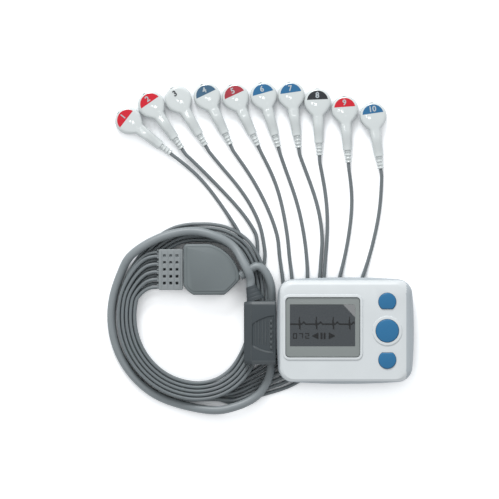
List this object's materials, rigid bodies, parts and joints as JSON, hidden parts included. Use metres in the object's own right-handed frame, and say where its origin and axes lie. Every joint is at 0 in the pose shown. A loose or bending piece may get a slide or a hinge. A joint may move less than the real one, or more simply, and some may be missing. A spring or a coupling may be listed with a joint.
{
  "type": "holter monitor",
  "caption": "Pocket heart recorder with a display, three keys and a plugged-in patient cable: trunk, yoke, coiled lead wires and snap heads.",
  "frame": {"origin": "middle of the recorder's own box, case and keys", "axes": "+X along the recorder's long side, towards its keys; +Y to its upper side, where the lead wires fan out; +Z out of its display"},
  "size_m": [0.1742, 0.1893, 0.0236],
  "materials": {
    "case": "fine satin pale grey",
    "seal": "matt black silicone",
    "window": "clear lens with a grey printed bezel",
    "panel": "dark liquid crystal panel",
    "steel": "plain steel",
    "laminate": "green solder mask",
    "cell": "dark jacket",
    "key": "satin blue",
    "card": "dark plastic",
    "plug": "fine textured dark grey",
    "contact": "pale grey contact block",
    "trunk": "satin light grey jacket",
    "yoke": "satin mid grey",
    "comb": "satin light grey",
    "wire": "satin grey jacket",
    "head": "soft satin off-white"
  },
  "bodies": {
    "recorder": {"front_shell": "case", "rear_shell": "case", "case_gasket": "seal", "display_window": "window", "lcd_panel": "panel", "display_frame": "steel", "circuit_board": "laminate", "keypad_mat": "seal", "battery": "cell", "battery_spring": "steel", "battery_contact": "steel", "card_socket": "steel", "lead_socket": "card", "case_screw_1": "steel", "case_screw_2": "steel", "case_screw_3": "steel", "case_screw_4": "steel"},
    "up_button": {"up_button": "key"},
    "select_button": {"select_button": "key"},
    "down_button": {"down_button": "key"},
    "battery_door": {"battery_door": "case"},
    "memory_card": {"memory_card": "card"},
    "lead_set": {"plug_cover": "plug", "plug_contacts": "contact", "plug_boot": "trunk", "trunk_cable": "trunk", "yoke_bottom": "yoke", "yoke_top": "yoke", "yoke_comb": "comb", "yoke_boot": "trunk", "lead_wire_1_coil": "wire", "lead_wire_2_coil": "wire", "lead_wire_3_coil": "wire", "lead_wire_4_coil": "wire", "lead_wire_5_coil": "wire", "lead_wire_6_coil": "wire", "lead_wire_7_coil": "wire", "lead_wire_8_coil": "wire", "lead_wire_9_coil": "wire", "lead_wire_10_coil": "wire", "lead_wire_1_run": "wire", "lead_wire_2_run": "wire", "lead_wire_3_run": "wire", "lead_wire_4_run": "wire", "lead_wire_5_run": "wire", "lead_wire_6_run": "wire", "lead_wire_7_run": "wire", "lead_wire_8_run": "wire", "lead_wire_9_run": "wire", "lead_wire_10_run": "wire", "lead_head_1": "head", "lead_head_2": "head", "lead_head_3": "head", "lead_head_4": "head", "lead_head_5": "head", "lead_head_6": "head", "lead_head_7": "head", "lead_head_8": "head", "lead_head_9": "head", "lead_head_10": "head"}
  },
  "joints": [
    {"name": "up_button_press", "type": "slide", "parent": "recorder", "child": "up_button", "axis": [0, 0, -1], "range_m": [0, 0.0006], "stiffness_N_per_m": 1500, "springref_m": -0.0002},
    {"name": "select_button_press", "type": "slide", "parent": "recorder", "child": "select_button", "axis": [0, 0, -1], "range_m": [0, 0.0006], "stiffness_N_per_m": 1500, "springref_m": -0.0002},
    {"name": "down_button_press", "type": "slide", "parent": "recorder", "child": "down_button", "axis": [0, 0, -1], "range_m": [0, 0.0006], "stiffness_N_per_m": 1500, "springref_m": -0.0002},
    {"name": "battery_door_slide", "type": "slide", "parent": "recorder", "child": "battery_door", "axis": [0, -1, 0], "range_m": [0, 0.012]},
    {"name": "memory_card_slide", "type": "slide", "parent": "recorder", "child": "memory_card", "axis": [0, -1, 0], "range_m": [0, 0.028]},
    {"name": "plug_pull", "type": "slide", "parent": "recorder", "child": "lead_set", "axis": [-1, 0, 0], "range_m": [0, 0.009]}
  ]
}
